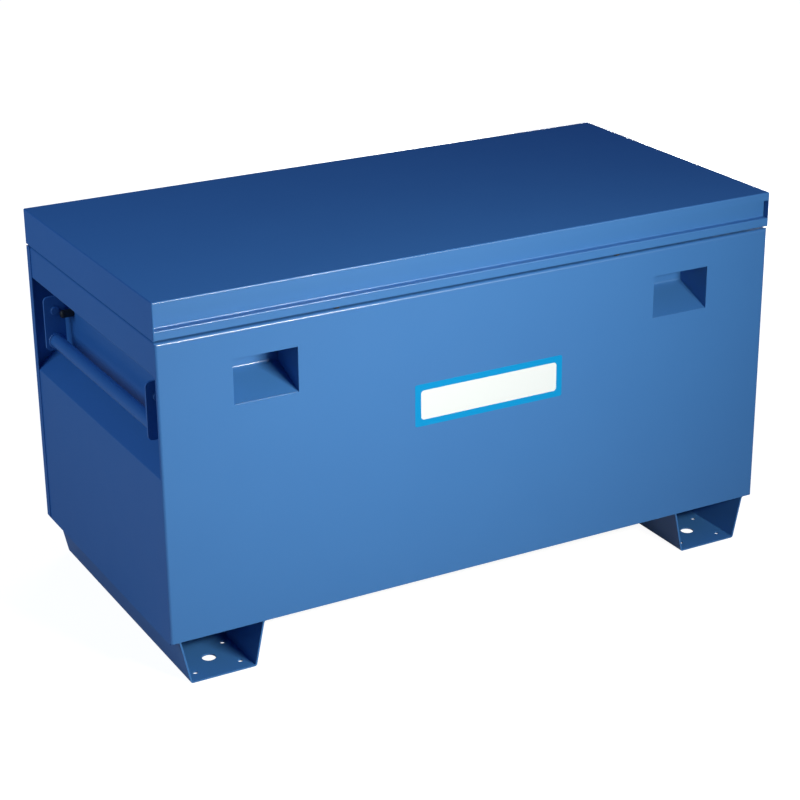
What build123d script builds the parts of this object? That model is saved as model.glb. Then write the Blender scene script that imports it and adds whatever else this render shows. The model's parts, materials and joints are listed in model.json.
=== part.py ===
from build123d import *
import os
from math import atan2, cos, hypot, radians, sin, tan

# A steel tool trunk: a folded sheet body on two skids, with a lid hinged at the back
# Lengths are millimetres, X runs to the right, Y to the back and Z up from the floor

# Overall sizes
trunk_width = 1220.0
body_depth = 600.0
trunk_height = 694.0
lid_height = 65.0
rim_gap = 4.0
skid_height = 86.5

# Sheet metal
sheet = 1.5
sheet_bend = 3.0
face_bend = 5.0
rim_depth = 22.0
rear_flange = 18.0
floor_flange = 20.0
cut_overrun = 20.0

# Running and seating clearances
seat_gap = 0.3
running_gap = 0.05

# Handle recess in each side panel
band_height = 59.0
recess_depth = 53.5
recess_height = 178.5
ceiling_drop = 10.0
ledge_angle = 35.0

# Padlock pockets in the front panel
pocket_inset = 194.0
pocket_width = 118.0
pocket_height = 80.0
pocket_drop = 51.0
pocket_floor_angle = 22.0
pocket_reach = 80.0
pocket_headroom = 30.0
pocket_bend = 5.0

# Padlock eyes: a staple on each pocket and a hasp on the lid
eye_plate = 5.0
eye_width = 28.0
eye_hole_radius = 7.0
eye_drop = 14.0
eye_gap = 1.0
eye_back_gap = 15.0
hasp_foot = 32.0
hasp_bend = 8.0
slot_side_gap = 2.5
slot_front_gap = 9.0
slot_back_gap = 4.0
staple_headroom = 5.0
staple_round = 7.0
hasp_tip_round = 12.5

# Skids
skid_sheet = 3.0
skid_bend = 5.0
skid_inset = 98.25
skid_base = 123.5
skid_flare = 17.75
skid_flange = 17.0
skid_setback = 6.0
caster_inset = 71.0
caster_spacing_x = 85.0
caster_spacing_y = 76.0
caster_hole_radius = 4.5
kingpin_hole_radius = 12.5

# Lid
lid_bend = 2.5
lid_return = 20.0
lip_height = 15.0
lip_overlap = 9.0
groove_depth = 12.5
ledge_height = 16.5
channel_bend = 2.0
channel_return = 18.0
brace_offset = 210.0
brace_base = 34.0
brace_flare = 6.0
brace_flange = 16.0
brace_height = 20.0
brace_inset = 20.0

# Rubber buttons that the lid rests on
button_radius = 6.0
side_button_inset = 80.0
front_button_inset = 330.0

# Hinge along the back
hinge_end_gap = 20.0
knuckle_count = 24
knuckle_radius = 4.5
knuckle_stand = 1.0
knuckle_gap = 0.4
notch_gap = 0.8
pin_radius = 2.0
pin_head_radius = 3.2
pin_head_height = 1.2
leaf_sheet = 2.0
leaf_height = 30.0
leaf_edge_gap = 2.0
rivet_edge = 12.0
rivet_radius = 2.4
rivet_hole_gap = 0.1
rivet_head_radius = 5.0
rivet_head_height = 2.2
rivet_tail_radius = 4.0
rivet_tail_height = 2.0

# Drop handles
ear_inset = 59.0
ear_sheet = 5.0
ear_width = 39.0
ear_height = 103.0
ear_drop = 26.0
ear_corner = 9.0
pivot_drop = 27.0
pivot_stand = 31.0
grip_drop = 58.0
grip_radius = 12.5
grip_wall = 2.0
lug_sheet = 4.0
lug_radius = 13.0
lug_foot = 26.0
bolt_radius = 5.0
bolt_head_radius = 8.0
bolt_head_height = 2.5
bolt_head_round = 1.6
bolt_tail = 2.0
washer_radius = 9.0
washer_sheet = 1.2
nut_radius = 9.0
nut_height = 8.0

# Cable gland in the left recess
gland_radius = 7.5
gland_drop = 58.0
gland_collar = 9.0
gland_cap_length = 16.0
gland_cap_round = 5.0
gland_stem_radius = 5.0
gland_nut_radius = 9.0
gland_nut_height = 5.0
gland_clearance = 0.8

# Gas struts
strut_stand = 17.0
strut_foot_from_hinge = 150.5
strut_foot_drop = 86.0
strut_head_from_hinge = 120.0
strut_head_drop = 22.5
lid_opening_angle = 85.0
tube_radius = 9.0
tube_wall = 1.8
tube_round = 0.9
tube_start = 16.0
tube_end_margin = 26.0
tube_end_cap = 5.0
rod_radius = 4.0
piston_length = 6.0
piston_clearance = 1.5
socket_radius = 9.0
socket_length = 12.0
socket_floor = 3.0
socket_neck_radius = 5.5
neck_overlap = 4.5
stud_radius = 4.0
collar_radius = 6.0
strut_bracket_sheet = 3.0
strut_bracket_width = 40.0
strut_bracket_height = 52.0
strut_bracket_corner = 6.0
lid_bracket_foot = 24.0
open_pivot_gap = 0.5

# Planes and heights that several pieces share
half_width = trunk_width / 2
side_plane = half_width - sheet
side_inside = side_plane - sheet
hinge_reach = knuckle_stand + 2 * knuckle_radius
front_face = -(body_depth + hinge_reach) / 2
front_inside = front_face + sheet
rear_face = front_face + body_depth
rear_inside = rear_face - sheet
body_middle = (front_face + rear_face) / 2
lid_edge = trunk_height - lid_height
lid_inside = trunk_height - sheet
rim_top = lid_edge - rim_gap
recess_plane = side_plane - recess_depth
recess_inside = recess_plane - sheet
recess_top = rim_top - band_height
ledge_fold = recess_top - recess_height
ledge_top = ledge_fold + recess_depth * tan(radians(ledge_angle))
skid_middle = half_width - skid_inset
hinge_length = trunk_width - 2 * hinge_end_gap
hinge_y = rear_face + knuckle_stand + knuckle_radius
hinge_z = lid_edge - rim_gap / 2
pocket_middle = half_width - pocket_inset
pocket_top = rim_top - pocket_drop
pocket_bottom = pocket_top - pocket_height
pocket_back = front_face + pocket_reach
pocket_fold = pocket_bottom + (pocket_back - front_inside) * tan(radians(pocket_floor_angle))
pocket_ceiling = pocket_top + pocket_headroom
eye_back = pocket_back - eye_back_gap
eye_middle = eye_back - eye_width / 2
eye_bottom = pocket_top - eye_drop
eye_centre = eye_bottom + eye_width / 2
front_ear_y = front_face + ear_inset - ear_sheet / 2
rear_ear_y = rear_face - ear_inset - ear_sheet / 2
ear_starts = (front_ear_y, rear_ear_y)
ear_top = recess_top - ear_drop
pivot_x = recess_plane + pivot_stand
pivot_z = ear_top - pivot_drop
grip_z = pivot_z - grip_drop
gland_y = rear_ear_y - seat_gap - washer_sheet - bolt_head_height - gland_clearance - gland_radius
gland_z = recess_top - gland_drop
strut_x = recess_inside - strut_stand
strut_foot_z = recess_top - strut_foot_drop
strut_head_z = lid_inside - strut_head_drop


def folded_profile(corners, bend_radius, thickness, side):
    # The section of a bent sheet, from the corners of one of its faces
    with BuildSketch() as profile:
        with BuildLine():
            FilletPolyline(*corners, radius=bend_radius)
            offset(amount=thickness, side=side)
        make_face()
    return profile.sketch


def mirrored(piece):
    # The same piece for the other side of the trunk
    with BuildPart() as twin:
        mirror(piece.part, about=Plane.YZ)
    return twin


def placed(piece, places):
    # Copies of one fastener at every place, as separate solids
    with BuildPart() as group:
        with Locations(*places):
            add(piece.part)
    return group


def keep(piece, name):
    # Each finished piece becomes one node of the model
    piece.part.label = name
    export_step(piece.part, f"parts/{name}.step")


# Body panels

def make_front_panel():
    # Face with rolled corners, a rim turned back at the top and two pocket openings
    with BuildPart() as front_panel:
        with BuildSketch(Plane.XY.offset(skid_height)):
            with Locations((0, front_face)):
                Rectangle(2 * side_plane, rim_depth, align=(Align.CENTER, Align.MIN))
        extrude(amount=rim_top - skid_height)
        corners = front_panel.edges().filter_by(Axis.Z).group_by(Axis.Y)[0]
        top_bend = front_panel.edges().filter_by(Axis.X).group_by(Axis.Z)[-1].sort_by(Axis.Y)[0]
        fillet(corners + [top_bend], radius=face_bend)
        underside = front_panel.faces().sort_by(Axis.Z)[0]
        back = front_panel.faces().sort_by(Axis.Y)[-1]
        offset(amount=-sheet, openings=[underside, back])
        with BuildSketch(Plane.XY.offset(skid_height)):
            with Locations((side_plane, front_face + face_bend), (-side_plane, front_face + face_bend)):
                Rectangle(2 * rim_depth, rim_depth + cut_overrun, align=(Align.CENTER, Align.MIN))
        extrude(amount=rim_top - skid_height + cut_overrun, mode=Mode.SUBTRACT)
        with BuildSketch(Plane.XZ.offset(-front_inside)):
            with Locations((pocket_middle, pocket_bottom), (-pocket_middle, pocket_bottom)):
                Rectangle(pocket_width, pocket_height, align=(Align.CENTER, Align.MIN))
        extrude(amount=cut_overrun, mode=Mode.SUBTRACT)
    return front_panel


def rivet_places(height):
    # One rivet beside every second knuckle
    pitch = 2 * hinge_length / knuckle_count
    start = -hinge_length / 2 + pitch / 2
    return [(start + pitch * step, rear_face + leaf_sheet, height) for step in range(knuckle_count // 2)]


def rivet_holes(height, mode=Mode.ADD):
    # A row of rivet holes, drawn in the sketch that is open
    with Locations(*[(x, z) for x, y, z in rivet_places(height)]):
        Circle(rivet_radius + rivet_hole_gap, mode=mode)


body_rivet_height = rim_top - leaf_edge_gap - leaf_height + rivet_edge
lid_rivet_height = lid_edge + leaf_edge_gap + leaf_height - rivet_edge


def make_rear_panel():
    # Face with flanges that lap over the side panels and a rim turned forward
    with BuildPart() as rear_panel:
        with BuildSketch(Plane.XY.offset(skid_height)):
            with Locations((0, rear_face)):
                Rectangle(2 * half_width, rim_depth, align=(Align.CENTER, Align.MAX))
        extrude(amount=rim_top - skid_height)
        corners = rear_panel.edges().filter_by(Axis.Z).group_by(Axis.Y)[-1]
        top_bend = rear_panel.edges().filter_by(Axis.X).group_by(Axis.Z)[-1].sort_by(Axis.Y)[-1]
        fillet(corners + [top_bend], radius=sheet_bend)
        underside = rear_panel.faces().sort_by(Axis.Z)[0]
        front = rear_panel.faces().sort_by(Axis.Y)[0]
        offset(amount=-sheet, openings=[underside, front])
        with BuildSketch(Plane.XY.offset(skid_height)):
            with Locations((half_width, rear_face - rear_flange), (-half_width, rear_face - rear_flange)):
                Rectangle(2 * rim_depth, rim_depth, align=(Align.CENTER, Align.MAX))
        extrude(amount=rim_top - skid_height + cut_overrun, mode=Mode.SUBTRACT)
        with BuildSketch(Plane.XY.offset(rim_top - rim_depth)):
            with Locations((side_plane, rear_face - sheet_bend), (-side_plane, rear_face - sheet_bend)):
                Rectangle(2 * rim_depth, rim_depth, align=(Align.CENTER, Align.MAX))
            with Locations((half_width, rear_face), (-half_width, rear_face)):
                Rectangle(2 * sheet, 2 * rear_flange, mode=Mode.SUBTRACT)
        extrude(amount=rim_depth + cut_overrun, mode=Mode.SUBTRACT)
        with BuildSketch(Plane.XZ.offset(-(rear_face + leaf_sheet))):
            rivet_holes(body_rivet_height)
        extrude(amount=leaf_sheet + sheet + cut_overrun, mode=Mode.SUBTRACT)
    return rear_panel


def make_right_side_panel():
    # One sheet folded into the rim, the band, the handle recess and the lower side
    outside = (
        (side_plane - rim_depth, rim_top),
        (side_plane, rim_top),
        (side_plane, recess_top),
        (recess_plane, recess_top - ceiling_drop),
        (recess_plane, ledge_top),
        (side_plane, ledge_fold),
        (side_plane, skid_height),
    )
    with BuildPart() as side_panel:
        with BuildSketch(Plane.XZ.offset(-rear_inside)):
            add(folded_profile(outside, sheet_bend, sheet, Side.RIGHT))
        extrude(amount=rear_inside - front_inside)
        # The outer corners stop at the bends of the front and rear panels
        for inner, outwards in ((front_face + face_bend, Align.MAX), (rear_face - sheet_bend, Align.MIN)):
            with BuildSketch(Plane.XY.offset(skid_height - cut_overrun)):
                with Locations((side_plane, inner)):
                    Rectangle(2 * face_bend, 2 * cut_overrun, align=(Align.CENTER, outwards))
            extrude(amount=trunk_height, mode=Mode.SUBTRACT)
            with BuildSketch(Plane.XY.offset(rim_top - face_bend)):
                with Locations((side_plane - rim_depth / 2, inner)):
                    Rectangle(2 * rim_depth, 2 * cut_overrun, align=(Align.CENTER, outwards))
            extrude(amount=cut_overrun, mode=Mode.SUBTRACT)
    return side_panel


def make_floor_panel():
    # A shallow tray with notched corners, welded inside the four panels
    with BuildPart() as floor_panel:
        with BuildSketch(Plane.XY.offset(skid_height)):
            with Locations((0, body_middle)):
                Rectangle(2 * side_inside, rear_inside - front_inside)
        extrude(amount=floor_flange)
        fillet(floor_panel.faces().sort_by(Axis.Z)[0].edges(), radius=sheet_bend)
        offset(amount=-sheet, openings=floor_panel.faces().sort_by(Axis.Z)[-1])
        with BuildSketch(Plane.XY.offset(skid_height)):
            with Locations((0, body_middle)):
                with GridLocations(2 * side_inside, rear_inside - front_inside, 2, 2):
                    Rectangle(2 * face_bend, 2 * face_bend)
        extrude(amount=floor_flange + cut_overrun, mode=Mode.SUBTRACT)
    return floor_panel


caster_places = [(skid_middle, front_face + caster_inset), (skid_middle, rear_face - caster_inset)]


def make_right_skid():
    # A flared channel from front to back, with a caster pattern at each end
    base_half = skid_base / 2
    flare_half = base_half + skid_flare
    flange_z = skid_height - skid_sheet
    outside = (
        (skid_middle - flare_half - skid_flange, flange_z),
        (skid_middle - flare_half, flange_z),
        (skid_middle - base_half, 0),
        (skid_middle + base_half, 0),
        (skid_middle + flare_half, flange_z),
        (skid_middle + flare_half + skid_flange, flange_z),
    )
    with BuildPart() as skid:
        with BuildSketch(Plane.XZ.offset(-(rear_face - skid_setback))):
            add(folded_profile(outside, skid_bend, skid_sheet, Side.LEFT))
        extrude(amount=body_depth - 2 * skid_setback)
        with BuildSketch(Plane.XY):
            with Locations(*caster_places):
                Circle(kingpin_hole_radius)
                with GridLocations(caster_spacing_x, caster_spacing_y, 2, 2):
                    Circle(caster_hole_radius)
        extrude(amount=skid_sheet, mode=Mode.SUBTRACT)
    return skid


# Padlock pockets and eyes

def make_right_pocket():
    # A pressed cup behind the opening: rising floor, upright back and a slotted ceiling
    rise = tan(radians(pocket_floor_angle))
    cup = (
        (front_inside, pocket_bottom - sheet),
        (pocket_back + sheet, pocket_fold - sheet + sheet * rise),
        (pocket_back + sheet, pocket_ceiling + sheet),
        (front_inside, pocket_ceiling + sheet),
    )
    with BuildPart() as pocket:
        with BuildSketch(Plane.YZ.offset(pocket_middle - pocket_width / 2 - sheet)):
            with BuildLine():
                Polyline(*cup, close=True)
            make_face()
        extrude(amount=pocket_width + 2 * sheet)
        backs = pocket.edges().filter_by(Axis.X).group_by(Axis.Y)[-1]
        fillet(backs, radius=pocket_bend + sheet)
        offset(amount=-sheet, openings=pocket.faces().sort_by(Axis.Y)[0])
        with BuildSketch(Plane.XY.offset(pocket_ceiling)):
            slot_front = eye_middle - eye_width / 2 - slot_front_gap
            slot_back = eye_middle + eye_width / 2 + slot_back_gap
            with Locations((pocket_middle - eye_gap / 2 - eye_plate / 2, (slot_front + slot_back) / 2)):
                Rectangle(eye_plate + 2 * slot_side_gap, slot_back - slot_front)
        extrude(amount=sheet, mode=Mode.SUBTRACT)
    return pocket


def make_right_staple():
    # A plate on the back of the pocket with the padlock hole
    with BuildPart() as staple:
        with BuildSketch(Plane.YZ.offset(pocket_middle + eye_gap / 2)):
            with BuildLine():
                Polyline(
                    (pocket_back, eye_bottom),
                    (eye_middle - eye_width / 2, eye_bottom),
                    (eye_middle - eye_width / 2, pocket_ceiling - staple_headroom),
                    (pocket_back - pocket_bend, pocket_ceiling - staple_headroom),
                    (pocket_back, pocket_ceiling - staple_headroom - pocket_bend),
                    close=True,
                )
            make_face()
            with Locations((eye_middle, eye_centre)):
                Circle(eye_hole_radius, mode=Mode.SUBTRACT)
        extrude(amount=eye_plate)
        fillet(staple.edges().filter_by(Axis.X).group_by(Axis.Y)[0], radius=staple_round)
    return staple


def make_right_hasp():
    # A bent plate that hangs from the lid's top through the pocket's slot
    left = pocket_middle - eye_gap / 2 - eye_plate
    outside = (
        (left - hasp_foot, lid_inside - eye_plate),
        (left, lid_inside - eye_plate),
        (left, eye_bottom),
    )
    with BuildPart() as hasp:
        with BuildSketch(Plane.XZ.offset(-(eye_middle + eye_width / 2))):
            add(folded_profile(outside, hasp_bend - eye_plate, eye_plate, Side.LEFT))
        extrude(amount=eye_width)
        tips = hasp.edges().filter_by(Axis.X).group_by(Axis.Z)[0]
        fillet(tips, radius=hasp_tip_round)
        with BuildSketch(Plane.YZ.offset(left)):
            with Locations((eye_middle, eye_centre)):
                Circle(eye_hole_radius)
        extrude(amount=eye_plate, mode=Mode.SUBTRACT)
    return hasp


# Lid

def make_lid_cover():
    # Top, skirts and front lip in one shell, with the skirts' lower edges turned in
    with BuildPart() as lid_cover:
        with BuildSketch(Plane.XY.offset(lid_edge)):
            with Locations((0, body_middle)):
                Rectangle(trunk_width, body_depth)
        extrude(amount=lid_height)
        uprights = lid_cover.edges().filter_by(Axis.Z)
        top_edges = lid_cover.faces().sort_by(Axis.Z)[-1].edges()
        fillet(uprights + top_edges, radius=lid_bend)
        offset(lid_cover.part, amount=-sheet, mode=Mode.SUBTRACT)
        with BuildSketch(Plane.XY.offset(lid_edge)):
            with Locations((0, front_face)):
                inner_width = trunk_width - 2 * lid_return
                Rectangle(inner_width, body_depth - lid_return, align=(Align.CENTER, Align.MIN))
        extrude(amount=sheet, mode=Mode.SUBTRACT)
        with BuildSketch(Plane.XZ.offset(-(front_face + lid_return))):
            with Locations((0, trunk_height - lip_height)):
                Rectangle(trunk_width - 2 * lid_bend, lid_height, align=(Align.CENTER, Align.MAX))
        extrude(amount=lid_return + cut_overrun, mode=Mode.SUBTRACT)
        with BuildSketch(Plane.XZ.offset(-(rear_face + leaf_sheet))):
            rivet_holes(lid_rivet_height)
        extrude(amount=leaf_sheet + sheet + cut_overrun, mode=Mode.SUBTRACT)
    return lid_cover


def make_lid_front_channel():
    # The finger groove, its ledge and the band that closes the lid's front
    lip_bottom = trunk_height - lip_height
    groove_wall = front_face + groove_depth
    ledge = lid_edge + ledge_height
    outside = (
        (front_inside, lip_bottom + lip_overlap),
        (front_inside, lip_bottom),
        (groove_wall, lip_bottom),
        (groove_wall, ledge),
        (front_face, ledge),
        (front_face, lid_edge),
        (front_face + channel_return, lid_edge),
    )
    with BuildPart() as channel:
        with BuildSketch(Plane.YZ.offset(-(half_width - lid_bend))):
            add(folded_profile(outside, channel_bend, sheet, Side.LEFT))
        extrude(amount=trunk_width - 2 * lid_bend)
    return channel


def make_right_lid_brace():
    # A hat section welded under the lid's top, from front to back
    base_half = brace_base / 2
    flare_half = base_half + brace_flare
    flange_z = lid_inside - sheet
    base_z = lid_inside - brace_height
    outside = (
        (brace_offset - flare_half - brace_flange, flange_z),
        (brace_offset - flare_half, flange_z),
        (brace_offset - base_half, base_z),
        (brace_offset + base_half, base_z),
        (brace_offset + flare_half, flange_z),
        (brace_offset + flare_half + brace_flange, flange_z),
    )
    with BuildPart() as brace:
        with BuildSketch(Plane.XZ.offset(-(rear_inside - brace_inset))):
            add(folded_profile(outside, sheet_bend, sheet, Side.LEFT))
        extrude(amount=rear_inside - front_inside - 2 * brace_inset)
    return brace


def make_rim_buttons():
    # Rubber buttons on the rim, a hair below the lid's turned edges
    side_x = side_plane - rim_depth / 2
    front_x = half_width - front_button_inset
    front_y = front_face + rim_depth / 2
    with BuildPart() as buttons:
        with BuildSketch(Plane.XY.offset(rim_top)):
            with Locations((0, body_middle)):
                with GridLocations(2 * side_x, body_depth - 2 * side_button_inset, 2, 2):
                    Circle(button_radius)
            with Locations((-front_x, front_y), (front_x, front_y)):
                Circle(button_radius)
        extrude(amount=rim_gap - seat_gap)
    return buttons


# Hinge

def knuckle_starts(first):
    # Where every second knuckle of the hinge starts along X
    pitch = hinge_length / knuckle_count
    return [-hinge_length / 2 + pitch * step + knuckle_gap / 2 for step in range(first, knuckle_count, 2)]


def make_hinge_leaf(first, low, high, rivet_height):
    # A leaf and its knuckles, notched round the knuckles of the other leaf
    pitch = hinge_length / knuckle_count
    notch = knuckle_radius + notch_gap
    with BuildPart() as leaf:
        with BuildSketch(Plane.XZ.offset(-(rear_face + leaf_sheet))):
            with Locations((0, low)):
                Rectangle(hinge_length, high - low, align=(Align.CENTER, Align.MIN))
            rivet_holes(rivet_height, Mode.SUBTRACT)
        extrude(amount=leaf_sheet)
        with BuildSketch(Plane.XZ.offset(-(rear_face + leaf_sheet))):
            with Locations(*[(x - knuckle_gap / 2 + pitch / 2, hinge_z) for x in knuckle_starts(1 - first)]):
                Rectangle(pitch + knuckle_gap, 2 * notch)
        extrude(amount=leaf_sheet, mode=Mode.SUBTRACT)
        with BuildSketch(*[Plane.YZ.offset(x) for x in knuckle_starts(first)]):
            with Locations((hinge_y, hinge_z)):
                Circle(knuckle_radius)
        extrude(amount=pitch - knuckle_gap)
        with BuildSketch(Plane.YZ.offset(-hinge_length / 2)):
            with Locations((hinge_y, hinge_z)):
                Circle(pin_radius + running_gap)
        extrude(amount=hinge_length, mode=Mode.SUBTRACT)
    return leaf


def make_hinge_pin():
    # A long pin with a peened head at each end
    head_starts = (-hinge_length / 2 - pin_head_height, hinge_length / 2)
    with BuildPart() as pin:
        with BuildSketch(Plane.YZ.offset(-hinge_length / 2)):
            with Locations((hinge_y, hinge_z)):
                Circle(pin_radius)
        extrude(amount=hinge_length)
        with BuildSketch(*[Plane.YZ.offset(x) for x in head_starts]):
            with Locations((hinge_y, hinge_z)):
                Circle(pin_head_radius)
        extrude(amount=pin_head_height)
    return pin


def make_rivet():
    # A domed rivet on the leaf's face, with its tail behind the panel
    with BuildPart() as rivet:
        with BuildSketch(Plane.XZ):
            Circle(rivet_head_radius)
        extrude(amount=-rivet_head_height)
        rims = rivet.edges().filter_by(GeomType.CIRCLE).sort_by(Axis.Y)
        fillet(rims[-1], radius=rivet_head_height - rivet_hole_gap)
        with BuildSketch(Plane.XZ):
            Circle(rivet_radius)
        extrude(amount=leaf_sheet + sheet)
        with BuildSketch(Plane.XZ.offset(leaf_sheet + sheet)):
            Circle(rivet_tail_radius)
        extrude(amount=rivet_tail_height)
    return rivet


# Handles

def make_right_ears():
    # The two plates that hang on the pivots and carry the grip
    with BuildPart() as ears:
        with BuildSketch(*[Plane.XZ.offset(-(y + ear_sheet)) for y in ear_starts]):
            with Locations((pivot_x, ear_top - ear_height / 2)):
                RectangleRounded(ear_width, ear_height, ear_corner)
            with Locations((pivot_x, pivot_z)):
                Circle(bolt_radius + running_gap, mode=Mode.SUBTRACT)
        extrude(amount=ear_sheet)
    return ears


def make_right_grip():
    # The steel tube between the ears
    with BuildPart() as grip:
        with BuildSketch(Plane.XZ.offset(-rear_ear_y)):
            with Locations((pivot_x, grip_z)):
                Circle(grip_radius)
                Circle(grip_radius - grip_wall, mode=Mode.SUBTRACT)
        extrude(amount=rear_ear_y - front_ear_y - ear_sheet)
    return grip


def make_right_lugs():
    # Angle brackets on the recess wall, one behind each ear
    with BuildPart() as lugs:
        starts = [y + ear_sheet + seat_gap for y in ear_starts]
        with BuildSketch(*[Plane.XZ.offset(-(y + lug_sheet)) for y in starts]):
            with Locations((recess_plane, pivot_z)):
                Rectangle(pivot_stand, 2 * lug_radius, align=(Align.MIN, Align.CENTER))
            with Locations((pivot_x, pivot_z)):
                Circle(lug_radius)
                Circle(bolt_radius + running_gap, mode=Mode.SUBTRACT)
        extrude(amount=lug_sheet)
        with BuildSketch(*[Plane.XZ.offset(-(y + lug_foot)) for y in starts]):
            with Locations((recess_plane, pivot_z)):
                Rectangle(lug_sheet, 2 * lug_radius, align=(Align.MIN, Align.CENTER))
        extrude(amount=lug_foot)
    return lugs


def make_right_bolts():
    # Round headed pivot bolts, with their heads to the front of the ears
    grip_length = washer_sheet + ear_sheet + 2 * seat_gap + lug_sheet + nut_height + bolt_tail
    starts = [y - seat_gap - washer_sheet for y in ear_starts]
    with BuildPart() as bolts:
        with BuildSketch(*[Plane.XZ.offset(-y) for y in starts]):
            with Locations((pivot_x, pivot_z)):
                Circle(bolt_head_radius)
        extrude(amount=bolt_head_height)
        head_rims = bolts.edges().filter_by(GeomType.CIRCLE)
        fillet([edge for y in starts for edge in head_rims
                if abs(edge.center().Y - (y - bolt_head_height)) < seat_gap], radius=bolt_head_round)
        with BuildSketch(*[Plane.XZ.offset(-y) for y in starts]):
            with Locations((pivot_x, pivot_z)):
                Circle(bolt_radius)
        extrude(amount=-grip_length)
    return bolts


def make_right_washers():
    # A washer under each bolt head
    with BuildPart() as washers:
        with BuildSketch(*[Plane.XZ.offset(-(y - seat_gap)) for y in ear_starts]):
            with Locations((pivot_x, pivot_z)):
                Circle(washer_radius)
                Circle(bolt_radius + running_gap, mode=Mode.SUBTRACT)
        extrude(amount=washer_sheet)
    return washers


def make_right_nuts():
    # A nut behind each lug
    starts = [y + ear_sheet + seat_gap + lug_sheet for y in ear_starts]
    with BuildPart() as nuts:
        with BuildSketch(*[Plane.XZ.offset(-(y + nut_height)) for y in starts]):
            with Locations((pivot_x, pivot_z)):
                RegularPolygon(nut_radius, 6)
                Circle(bolt_radius + running_gap, mode=Mode.SUBTRACT)
        extrude(amount=nut_height)
    return nuts


# Cable gland

def make_gland_body():
    # The collar outside the recess wall and the threaded stem through it
    with BuildPart() as gland_body:
        with BuildSketch(Plane.YZ.offset(-recess_plane - gland_collar)):
            with Locations((gland_y, gland_z)):
                RegularPolygon(gland_radius, 6)
        extrude(amount=gland_collar)
        with BuildSketch(Plane.YZ.offset(-recess_plane)):
            with Locations((gland_y, gland_z)):
                Circle(gland_stem_radius)
        extrude(amount=sheet + gland_nut_height + sheet)
    return gland_body


def make_gland_cap():
    # The closed dome nut on the outer end
    with BuildPart() as gland_cap:
        with BuildSketch(Plane.YZ.offset(-recess_plane - gland_collar - gland_cap_length)):
            with Locations((gland_y, gland_z)):
                Circle(gland_radius)
        extrude(amount=gland_cap_length)
        fillet(gland_cap.edges().filter_by(GeomType.CIRCLE).sort_by(Axis.X)[0], radius=gland_cap_round)
    return gland_cap


def make_gland_nut():
    # The lock nut inside the trunk
    with BuildPart() as gland_nut:
        with BuildSketch(Plane.YZ.offset(-recess_inside)):
            with Locations((gland_y, gland_z)):
                RegularPolygon(gland_nut_radius, 6)
                Circle(gland_stem_radius + running_gap, mode=Mode.SUBTRACT)
        extrude(amount=gland_nut_height)
    return gland_nut


def drill_gland_hole(panel):
    # The left side panel with the gland's hole
    with BuildPart() as drilled:
        add(panel.part)
        with BuildSketch(Plane.YZ.offset(-recess_plane)):
            with Locations((gland_y, gland_z)):
                Circle(gland_stem_radius + running_gap)
        extrude(amount=sheet, mode=Mode.SUBTRACT)
    return drilled


# Gas struts, each from a bracket on the recess wall to one under the lid

foot_y = hinge_y - strut_foot_from_hinge
head_y = hinge_y - strut_head_from_hinge
strut_rise = strut_head_z - strut_foot_z
strut_length = hypot(head_y - foot_y, strut_rise)
strut_plane = Plane(
    origin=(strut_x, foot_y, strut_foot_z),
    x_dir=Axis.X.direction,
    z_dir=(0, head_y - foot_y, strut_rise),
)
opening = radians(lid_opening_angle)
head_swing_y = hinge_y + (head_y - hinge_y) * cos(opening) + (strut_head_z - hinge_z) * sin(opening)
head_swing_z = hinge_z - (head_y - hinge_y) * sin(opening) + (strut_head_z - hinge_z) * cos(opening)
strut_open_length = hypot(head_swing_y - foot_y, head_swing_z - strut_foot_z)
strut_stroke = strut_open_length - strut_length
strut_turn = atan2(strut_rise, head_y - foot_y) - atan2(head_swing_z - strut_foot_z, head_swing_y - foot_y)
tube_end = strut_length - tube_end_margin


def make_strut_tube():
    # The pressure tube with a closed foot end and a guide for the rod
    with BuildPart() as tube:
        with BuildSketch(strut_plane.offset(tube_start)):
            Circle(tube_radius)
        extrude(amount=tube_end - tube_start)
        fillet(tube.edges().filter_by(GeomType.CIRCLE), radius=tube_round)
        with BuildSketch(strut_plane.offset(tube_start + tube_wall)):
            Circle(tube_radius - tube_wall)
        extrude(amount=tube_end - tube_start - tube_wall - tube_end_cap, mode=Mode.SUBTRACT)
        with BuildSketch(strut_plane.offset(tube_end - tube_end_cap)):
            Circle(rod_radius + running_gap)
        extrude(amount=tube_end_cap, mode=Mode.SUBTRACT)
    return tube


def make_strut_socket(along, outer, neck_start, neck_length):
    # A round end fitting, blind on its inner side, with a neck along the strut
    centre = strut_plane.offset(along).origin
    start = outer - socket_length
    with BuildPart() as socket:
        with BuildSketch(Plane.YZ.offset(start)):
            with Locations((centre.Y, centre.Z)):
                Circle(socket_radius)
        extrude(amount=socket_length)
        fillet(socket.edges().filter_by(GeomType.CIRCLE), radius=sheet)
        with BuildSketch(strut_plane.offset(neck_start)):
            Circle(socket_neck_radius)
        extrude(amount=neck_length)
        with BuildSketch(Plane.YZ.offset(start + socket_floor)):
            with Locations((centre.Y, centre.Z)):
                Circle(stud_radius + running_gap)
        extrude(amount=socket_length, mode=Mode.SUBTRACT)
    return socket


def make_strut_rod():
    # The bright rod with its piston, pushed in while the lid is shut
    inner_end = tube_end - tube_end_cap - piston_clearance - piston_length - strut_stroke
    with BuildPart() as rod:
        with BuildSketch(strut_plane.offset(inner_end)):
            Circle(rod_radius)
        extrude(amount=strut_length - socket_radius - sheet - inner_end)
        with BuildSketch(strut_plane.offset(inner_end)):
            Circle(tube_radius - tube_wall - seat_gap)
        extrude(amount=piston_length)
    return rod


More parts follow.
